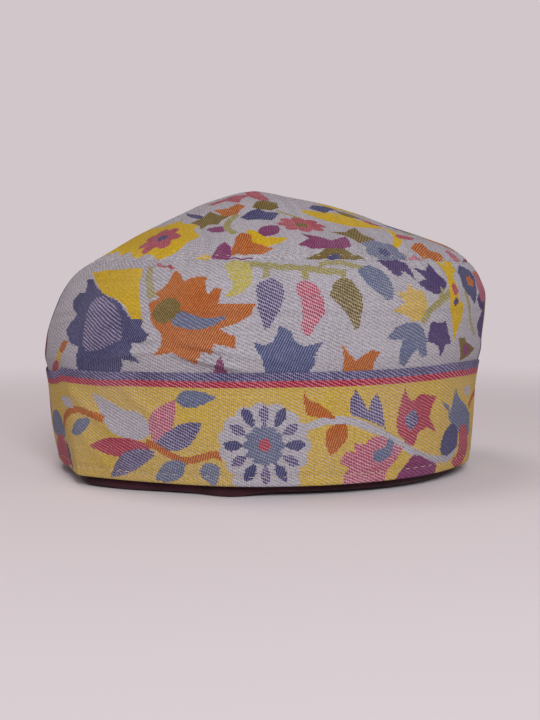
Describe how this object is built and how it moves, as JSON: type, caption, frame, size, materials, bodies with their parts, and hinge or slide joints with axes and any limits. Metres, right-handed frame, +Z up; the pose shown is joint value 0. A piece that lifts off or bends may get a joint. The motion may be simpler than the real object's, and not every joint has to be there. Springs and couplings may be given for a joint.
{
  "type": "hat",
  "caption": "Soft oval cap of figured cloth with an upright wall, low conical crown, woven border band and velvet sweatband.",
  "frame": {"origin": "on the floor, under the middle of the cap's box", "axes": "+Z up through the crown, +X along the cap's long axis towards the side that the crown leans to"},
  "size_m": [0.2117, 0.193, 0.1324],
  "materials": {
    "band_cloth": "twill tapestry weave",
    "body_cloth": "twill tapestry weave",
    "buckram": "sized open weave",
    "lining": "plain cotton",
    "velvet": "short pile",
    "thread": "spun thread"
  },
  "bodies": {
    "root": {"border_band": "band_cloth", "upper_wall": "body_cloth", "crown_top": "body_cloth", "wall_buckram_front": "buckram", "wall_buckram_back": "buckram", "crown_buckram_front": "buckram", "crown_buckram_back": "buckram", "wall_lining": "lining", "crown_lining": "lining", "sweatband": "velvet", "hem_topstitch": "thread", "band_stitches": "thread", "rim_stitches": "thread", "sweatband_stitches": "thread"}
  },
  "joints": []
}
